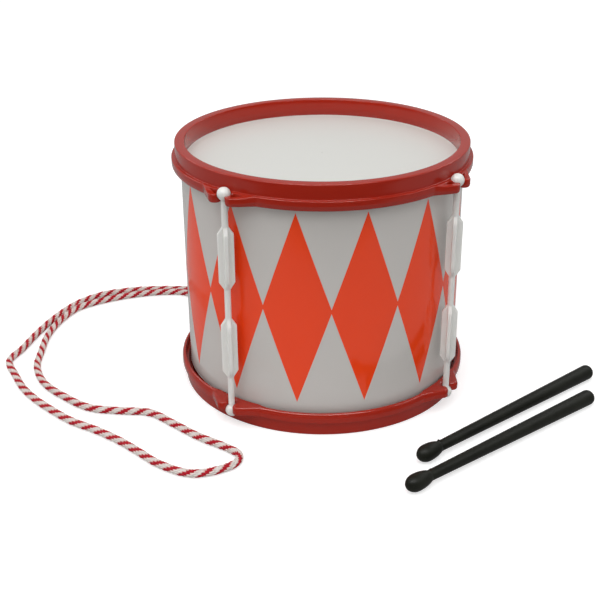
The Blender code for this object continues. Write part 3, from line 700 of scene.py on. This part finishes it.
def rod_points(half_length, blade_lift):
    """The rod as levels up its axis by points round it.

    Round each level the radius is that of the stem or of the cross of wings, whichever is larger; the
    wings are two rounded rectangles, whose half span grows from the stem to the full blade and back.
    What lies between the balls is raised by the blades' lift."""
    ball_angle = np.linspace(POLE_ANGLE, math.pi - math.asin(STEM_R / BALL_R), BALL_LEVELS)
    ball_z = half_length + BALL_R * np.cos(ball_angle)
    ball_r = BALL_R * np.sin(ball_angle)
    blade_end = BLADE_START + BLADE_LENGTH
    bevel = np.linspace(0, BLADE_BEVEL, BEVEL_LEVELS)
    blade_z = np.concatenate([
        blade_end - bevel, np.linspace(blade_end - BLADE_BEVEL, BLADE_START + BLADE_BEVEL, 8)[1:-1],
        BLADE_START + bevel[::-1], STEM_LEVELS,
    ])
    z = np.concatenate([ball_z, np.linspace(ball_z[-1], blade_end, 6)[1:-1], blade_z])
    plain = np.concatenate([ball_r, np.full(len(z) - len(ball_r), STEM_R)])
    z = np.concatenate([z, -z[-2::-1]])
    plain = np.concatenate([plain, plain[-2::-1]])
    rise = np.minimum(np.abs(z) - BLADE_START, blade_end - np.abs(z)) / BLADE_BEVEL
    z = z + blade_lift * (np.abs(z) < half_length - BALL_R)
    span = STEM_R * WING_ROOT + (WING_HALF - STEM_R * WING_ROOT) * np.clip(rise, 0, 1)
    angle = np.linspace(0, 2 * np.pi, ROD_STATIONS, endpoint=False)
    wings = []
    for across, up in ((np.cos(angle), np.sin(angle)), (np.sin(angle), np.cos(angle))):
        sides = (np.abs(across) / span[:, None]) ** WING_SQUARENESS
        sides = sides + (np.abs(up) / (WING_THICKNESS / 2)) ** WING_SQUARENESS
        wings.append(sides ** (-1 / WING_SQUARENESS))
    in_blade = rise[:, None] > 0
    stem = np.where(in_blade, STEM_R, plain[:, None]) + 0 * angle
    radius = sum(part ** WING_CREASE for part in (*wings, stem)) ** (1 / WING_CREASE)
    radius = np.where(in_blade, radius, stem)
    return np.stack([radius * np.cos(angle), radius * np.sin(angle), z[:, None] + 0 * angle], axis=-1)


ROD_COLOUR = srgb(237, 237, 233)
ROD_CLOUD = srgb(231, 231, 227)
rod_finish, rod_shader, spot = finish("white_plastic", ROD_COLOUR, 0.33)
feed(ROD_ROUGHNESS + 0.12 * spot.noise(30.0, 3.0), rod_shader, "Roughness")
feed(spot.noise(25.0).blend(ROD_COLOUR, ROD_CLOUD), rod_shader, "Base Color")
bump(spot.noise(220.0, 3.0), rod_shader, ROD_RELIEF)
rod_shader.inputs["Subsurface Weight"].default_value = SOFT_LIGHT
rod_shader.inputs["Subsurface Radius"].default_value = SOFT_LIGHT_REACH

for rod_name, wing_angle in ROD_TURNS.items():
    rod_shape = rod_points(drum_middle - BALL_DROP, BLADE_LIFTS.get(rod_name, 0.0))
    low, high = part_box("tension_rod_" + rod_name)
    centre = (np.array(low) + np.array(high)) / 2
    points = turn_about_z(rod_shape, math.radians(wing_angle))
    rod = grid_piece("white_rod_" + rod_name, points + centre)
    rod.data.set_sharp_from_angle(angle=ROD_SHARP)
    rod.data.materials.append(rod_finish)
    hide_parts("tension_rod_" + rod_name)
    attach(rod, rod_name + "_rod")

# Sling
# A soft rope laid left handed from two red and four cream strands. Its ends are tied round the rear
# rods above their upper blades, it hangs to the floor behind the drum and lies in one long loop.
CORD_D = 0.0057
LAY_LENGTH = 0.0238
STRANDS = 6
STRAND_DEPTH = 0.00050
STRAND_ROUNDNESS = 3
STRAND_POINTS = 5
OFF_ROUTE = np.array([0.3, 0.2, 0.93])
YARNS = 12
YARN_RELIEF = 0.00035
RED_HALF = 0.65
STRAND_SCATTER = 0.16
# Painted pink glow on cream yarns next to a red strand, standing in for the light the red strands throw onto
# them: how far it reaches across a strand and its largest share
RED_GLOW_REACH = 0.50
RED_GLOW_SHARE = 0.55
TURNS_AHEAD = 1000.0
ROPE_COLOUR = srgb(232, 225, 218)
CREAM = srgb(243, 238, 233)
CREAM_DARK = srgb(214, 204, 197)
# Colour of the painted pink glow thrown from the red strands onto the cream ones
PAINTED_RED_GLOW = srgb(232, 176, 168)
SCARLET = srgb(205, 24, 44)
SCARLET_DARK = srgb(158, 10, 28)
ROPE_ROUGHNESS = 0.8
ROPE_SPECULAR = 0.2
ROPE_STEP = 0.0006
CORD_FLOOR_GAP = 0.0001
KNOT_GAP = 0.0003
HANG_OFFSET = 0.0090
HANG_RUNS = 4
BEND_HEIGHTS = (0.0200, 0.0070)
BEND_LEANS = (0.0010, 0.0060)
SPLINE_STEPS = 24
SLING_FLOOR = [
    (0.0780, 0.1200), (0.0680, 0.1365), (0.0415, 0.1450), (0.0055, 0.1465), (-0.0400, 0.1440),
    (-0.0810, 0.1405), (-0.1185, 0.1355), (-0.1420, 0.1360), (-0.1680, 0.1335), (-0.1935, 0.1250),
    (-0.2120, 0.1085), (-0.2225, 0.0900), (-0.2305, 0.0700), (-0.2375, 0.0460), (-0.2430, 0.0215),
    (-0.2485, 0.0010), (-0.2380, -0.0230), (-0.2280, -0.0420), (-0.2155, -0.0585), (-0.2015, -0.0730),
    (-0.1825, -0.0900), (-0.1620, -0.1030), (-0.1435, -0.1170), (-0.1300, -0.1295), (-0.1120, -0.1465),
    (-0.0900, -0.1575), (-0.0700, -0.1525), (-0.0600, -0.1440), (-0.0595, -0.1350), (-0.0675, -0.1270),
    (-0.0895, -0.1115), (-0.1085, -0.0945), (-0.1270, -0.0795), (-0.1495, -0.0765), (-0.1720, -0.0720),
    (-0.1940, -0.0555), (-0.2135, -0.0345), (-0.2245, -0.0085), (-0.2265, 0.0175), (-0.2270, 0.0450),
    (-0.2215, 0.0745), (-0.2105, 0.0980), (-0.1895, 0.1135), (-0.1670, 0.1235), (-0.1420, 0.1290),
    (-0.1205, 0.1275), (-0.1065, 0.1110), (-0.1020, 0.0935),
]
RIGHT_EAR = 1
LEFT_EAR = 2
cord_r = CORD_D / 2
cord_floor = cord_r + CORD_FLOOR_GAP


def away_from_drum(ear):
    """Level direction from the drum's axis to an ear, counted from the front right one."""
    angle = EAR_AZIMUTH + 2 * math.pi * ear / EAR_COUNT
    return np.array([math.sin(angle), -math.cos(angle), 0.0])


def sling_route():
    """The rope's given points: down from the right knot, over the floor, up to the left knot."""
    start = drum_middle + BLADE_START + BLADE_LENGTH - KNOT_GAP
    run = (start - BEND_HEIGHTS[0]) / HANG_RUNS
    drops = []
    for ear in (RIGHT_EAR, LEFT_EAR):
        outwards = away_from_drum(ear)
        hang = outwards * (ROD_R + HANG_OFFSET)
        drop = [hang + (0, 0, start - run * step) for step in range(HANG_RUNS)]
        drop += [hang + outwards * lean + (0, 0, height) for height, lean in zip(BEND_HEIGHTS, BEND_LEANS)]
        drops.append(drop)
    floor_points = [(x, y, cord_floor) for x, y in SLING_FLOOR]
    return np.array(drops[0] + floor_points + drops[1][::-1]) + drum_place


def even_path(path, spacing):
    """The same path with its points at even steps along it, and its length."""
    walked = np.concatenate([[0], np.cumsum(np.linalg.norm(np.diff(path, axis=0), axis=1))])
    even = np.linspace(0, walked[-1], round(walked[-1] / spacing) + 1)
    return np.stack([np.interp(even, walked, path[:, k]) for k in range(3)], axis=-1), walked[-1]


def smooth_route(points, spacing):
    """Centripetal spline through the points, kept above the floor and read at even steps.

    Between two points it blends the straight lines through their neighbours, pair by pair, over times
    that grow with the root of the distance."""
    points = np.concatenate([[2 * points[0] - points[1]], points, [2 * points[-1] - points[-2]]])
    p = [points[k:len(points) - 3 + k, None] for k in range(4)]
    t = [np.zeros((len(points) - 3, 1, 1))]
    for first, second in zip(p, p[1:]):
        t.append(t[-1] + np.sqrt(np.linalg.norm(second - first, axis=-1, keepdims=True)))
    at = t[1] + (t[2] - t[1]) * (np.arange(SPLINE_STEPS) / SPLINE_STEPS)[None, :, None]

    def between(a, b, start, end):
        """The straight line that is at a at the start time and at b at the end time."""
        return a + (b - a) * (at - start) / (end - start)

    first, middle, last = (between(p[k], p[k + 1], t[k], t[k + 1]) for k in range(3))
    inner = between(between(first, middle, t[0], t[2]), between(middle, last, t[1], t[3]), t[1], t[2])
    dense = np.concatenate([inner.reshape(-1, 3), points[-2:-1]])
    dense[:, 2] = np.maximum(dense[:, 2], cord_floor)
    return even_path(dense, spacing)


def rope_piece(name, path):
    """A laid rope along a path: a ring of round strands that turns once in each lay length.

    The ring's radius is the rope's, less a groove between strands, and the ring turns left handed
    about the path. It is set square to the path by a fixed direction that the rope never takes.
    Attributes hold the place round the ring and the way walked along the path, from which the material
    works out each strand's colour and the yarns, which run straight along the rope."""
    step = np.linalg.norm(np.diff(path, axis=0), axis=1)
    walked = np.concatenate([[0], np.cumsum(step)])
    tangent = np.gradient(path, axis=0)
    tangent /= np.linalg.norm(tangent, axis=1, keepdims=True)
    across = np.cross(OFF_ROUTE, tangent)
    across /= np.linalg.norm(across, axis=1, keepdims=True)
    upward = np.cross(tangent, across)
    place = np.linspace(0, 2 * np.pi, STRANDS * STRAND_POINTS, endpoint=False)
    groove = np.abs(np.cos(STRANDS * place / 2)) ** STRAND_ROUNDNESS
    radius = cord_r - STRAND_DEPTH * groove
    angle = place - 2 * np.pi * walked[:, None] / LAY_LENGTH
    ring = across[:, None] * np.cos(angle)[..., None] + upward[:, None] * np.sin(angle)[..., None]
    rope = grid_piece(name, path[:, None] + radius[:, None] * ring)
    for attribute, values in (
        ("lay_x", np.tile(np.cos(place), len(path))),
        ("lay_y", np.tile(np.sin(place), len(path))),
        ("walked", np.repeat(walked, len(place))),
    ):
        layer = rope.data.attributes.new(attribute, "FLOAT", "POINT")
        layer.data.foreach_set("value", values.astype(np.float32))
    return rope


rope_finish, rope_shader, spot = finish("laid_rope", ROPE_COLOUR, ROPE_ROUGHNESS, ROPE_SPECULAR)
lay_x, lay_y, walked = (
    spot.node("ShaderNodeAttribute", {"attribute_name": name}, out=2) for name in ("lay_x", "lay_y", "walked")
)
lay_turns = walked * (1 / LAY_LENGTH)
yarn_place = lay_x.maths("ARCTAN2", lay_y, lay_x) * (1 / (2 * math.pi)) - lay_turns
yarn_place = (yarn_place + TURNS_AHEAD) * YARNS
yarn = yarn_place.maths("FLOOR", yarn_place)
yarn_number = yarn.maths("FLOORED_MODULO", yarn, YARNS)
odd = yarn.node("ShaderNodeTexWhiteNoise", {"noise_dimensions": "1D"}, {"W": yarn_number})
strand = ((yarn + 0.5) / YARNS + lay_turns) * STRANDS + odd * STRAND_SCATTER
pair_place = strand.maths("FLOORED_MODULO", strand, STRANDS / 2)
off_red = abs(pair_place - STRANDS / 4)
is_red = off_red.step(RED_HALF - 0.05, RED_HALF + 0.03, 1.0, 0.0)
# Cream yarns beside a red strand get a painted pink glow, the light the red strands throw onto them,
# strongest at the red's edge
painted_glow = off_red.step(RED_HALF, RED_HALF + RED_GLOW_REACH, RED_GLOW_SHARE, 0.0)
fibre = spot.noise(1500.0, 3.0)
cream = painted_glow.blend(fibre.blend(CREAM, CREAM_DARK), PAINTED_RED_GLOW)
scarlet = fibre.blend(SCARLET, SCARLET_DARK)
feed(is_red.blend(cream, scarlet), rope_shader, "Base Color")
ridge = abs(yarn_place - yarn - 0.5) * 2
bump(1 - ridge * ridge + fibre * 0.6, rope_shader, YARN_RELIEF)

sling_path, sling_length = smooth_route(sling_route(), ROPE_STEP)
sling = rope_piece("rope_sling", sling_path)
sling.data.materials.append(rope_finish)
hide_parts("sling_cord")
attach(sling, "drum")

# Knots
# Each end of the rope goes up past a rear rod's upper blade and is wound tight, a little over twice, round
# the stem above it. There the blade keeps it from sliding down, and its cut end lies against the stem.
KNOT_TURNS = 2.35
KNOT_LEAD = 0.35
KNOT_EASE = 3
KNOT_POINTS = 260
KNOT_START_RISE = 1.1
KNOT_CLIMB = 0.8
CLIMB_FROM = 0.5
stem_wrap = STEM_R + KNOT_GAP + cord_r


def knot_path(start, outwards):
    """The end of the rope, from the sling's own end at start up to and round the rod's stem.

    A helix about the rod whose radius eases from the hanging rope's to that of the wound rope, and which
    climbs a little under one rope's width each turn."""
    share = np.linspace(0, 1, KNOT_POINTS)
    held_back = KNOT_LEAD / KNOT_TURNS * smooth(share * KNOT_EASE) * (1 - share) ** 2
    turned = np.maximum.accumulate(KNOT_TURNS * 2 * np.pi * (share - held_back))
    lead = smooth(share * KNOT_TURNS / KNOT_LEAD)
    reach = HANG_OFFSET + (stem_wrap - HANG_OFFSET) * lead
    climbed = CORD_D * np.clip(turned / (2 * np.pi) - CLIMB_FROM, 0, None) * KNOT_CLIMB
    side = np.cross(outwards, (0, 0, 1.0))
    round_stem = outwards * np.cos(turned)[:, None] + side * np.sin(turned)[:, None]
    path = start - outwards * HANG_OFFSET + round_stem * reach[:, None]
    path[:, 2] += cord_r * KNOT_START_RISE * lead + climbed
    return path


for side, ear, end in (("right", RIGHT_EAR, 0), ("left", LEFT_EAR, -1)):
    wound = even_path(knot_path(sling_path[end], away_from_drum(ear)), ROPE_STEP)[0]
    knot = rope_piece("rope_knot_" + side, wound)
    knot.data.materials.append(rope_finish)
    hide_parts("sling_knot_" + side)
    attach(knot, "drum")

sling_path[::8].tolist() + [sling_path[-1].tolist()]

# Sticks
# Two solid sticks moulded in black plastic, each with an egg shaped tip and a shaft that widens to the
# butt. They lie loose on the floor beside the drum, on the tip's belly and the butt's edge.
STICK_LENGTH = 0.1870
TIP_R = 0.0061
TIP_LENGTH = 0.0238
TIP_BELLY = 0.0082
NECK_R = 0.0038
BUTT_R = 0.0057
BUTT_ROUND = 0.0050
TIP_LEVELS = 40
SHAFT_LEVELS = 260
BUTT_LEVELS = 16
STICK_STATIONS = 72
STICK_SHARP = math.radians(60)
STICK_TIPS = {"drumstick_1": (0.0624, -0.1446), "drumstick_2": (0.0515, -0.1791)}
STICK_HEADINGS = {"drumstick_1": math.radians(39.4), "drumstick_2": math.radians(38.0)}
STICK_COLOUR = srgb(23, 25, 19)
STICK_DARK = srgb(8, 9, 6)
STICK_PALE = srgb(38, 40, 32)
STICK_ROUGHNESS = 0.27
STICK_SPECULAR = 0.14
STICK_RELIEF = 0.00014

# Moulding marks as way along the stick, turn about it, rise and spread: nubs at the neck and a dent
# near the second stick's butt
MOULD_MARKS = {
    "drumstick_1": [
        (0.0212, math.radians(150), 0.0012, 0.0009),
        (0.0245, math.radians(160), 0.0003, 0.0006),
    ],
    "drumstick_2": [
        (0.0225, math.radians(150), 0.0004, 0.0009),
        (0.1698, math.radians(158), -0.0012, 0.0013),
    ],
}

stick_finish, stick_shader, spot = finish("black_plastic", STICK_COLOUR, 0.4, STICK_SPECULAR)
scuff = spot.noise(70.0, 5.0)
feed(scuff.blend(STICK_DARK, STICK_PALE), stick_shader, "Base Color")
feed(STICK_ROUGHNESS + 0.26 * scuff, stick_shader, "Roughness")
bump(spot.noise(320.0, 3.0) * 0.5 + scuff * 0.5, stick_shader, STICK_RELIEF)


def stick_points(marks):
    """A stick up from its tip, as levels along it by points round it.

    The tip is two half ellipses that share their widest ring, cut where it meets the neck; the shaft
    widens evenly; the butt is a quarter ellipse. Each mark adds a bell shaped rise to the radius."""
    turn = np.linspace(math.pi - POLE_ANGLE, math.asin(NECK_R / TIP_R), TIP_LEVELS)
    tip_z = TIP_BELLY + np.where(turn < math.pi / 2, TIP_LENGTH - TIP_BELLY, TIP_BELLY) * np.cos(turn)
    shaft_end = STICK_LENGTH - BUTT_ROUND
    shaft_z = np.linspace(tip_z[-1], shaft_end, SHAFT_LEVELS)[1:-1]
    shaft_r = np.interp(shaft_z, [tip_z[-1], shaft_end], [NECK_R, BUTT_R])
    butt = np.linspace(math.pi / 2, POLE_ANGLE, BUTT_LEVELS)
    z = np.concatenate([tip_z, shaft_z, STICK_LENGTH - BUTT_ROUND * (1 - np.cos(butt))])
    r = np.concatenate([TIP_R * np.sin(turn), shaft_r, BUTT_R * np.sin(butt)])
    angle = np.linspace(0, 2 * np.pi, STICK_STATIONS, endpoint=False)
    radius = r[:, None] + 0 * angle
    for along, side, rise, spread in marks:
        aside = BUTT_R * ((angle - side + np.pi) % (2 * np.pi) - np.pi)
        radius += rise * np.exp(-((z[:, None] - along) ** 2 + aside ** 2) / spread ** 2)
    return np.stack([radius * np.cos(angle), radius * np.sin(angle), z[:, None] + 0 * angle], axis=-1)


stick_slope = math.asin((TIP_R - BUTT_R) / (STICK_LENGTH - BUTT_ROUND - TIP_BELLY))
for stick_name, (tip_x, tip_y) in STICK_TIPS.items():
    turned = Matrix.Rotation(STICK_HEADINGS[stick_name], 3, "Z")
    lay = turned @ Matrix.Rotation(math.pi / 2 + stick_slope, 3, "Y")
    rest = np.array([tip_x, tip_y, TIP_R + TIP_BELLY * math.sin(stick_slope)]) + drum_place
    points = stick_points(MOULD_MARKS[stick_name]) @ np.array(lay).T + rest
    stick = grid_piece("black_" + stick_name, points)
    stick.data.set_sharp_from_angle(angle=STICK_SHARP)
    stick.data.materials.append(stick_finish)
    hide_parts(stick_name)
    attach(stick, "stick_" + stick_name[-1])
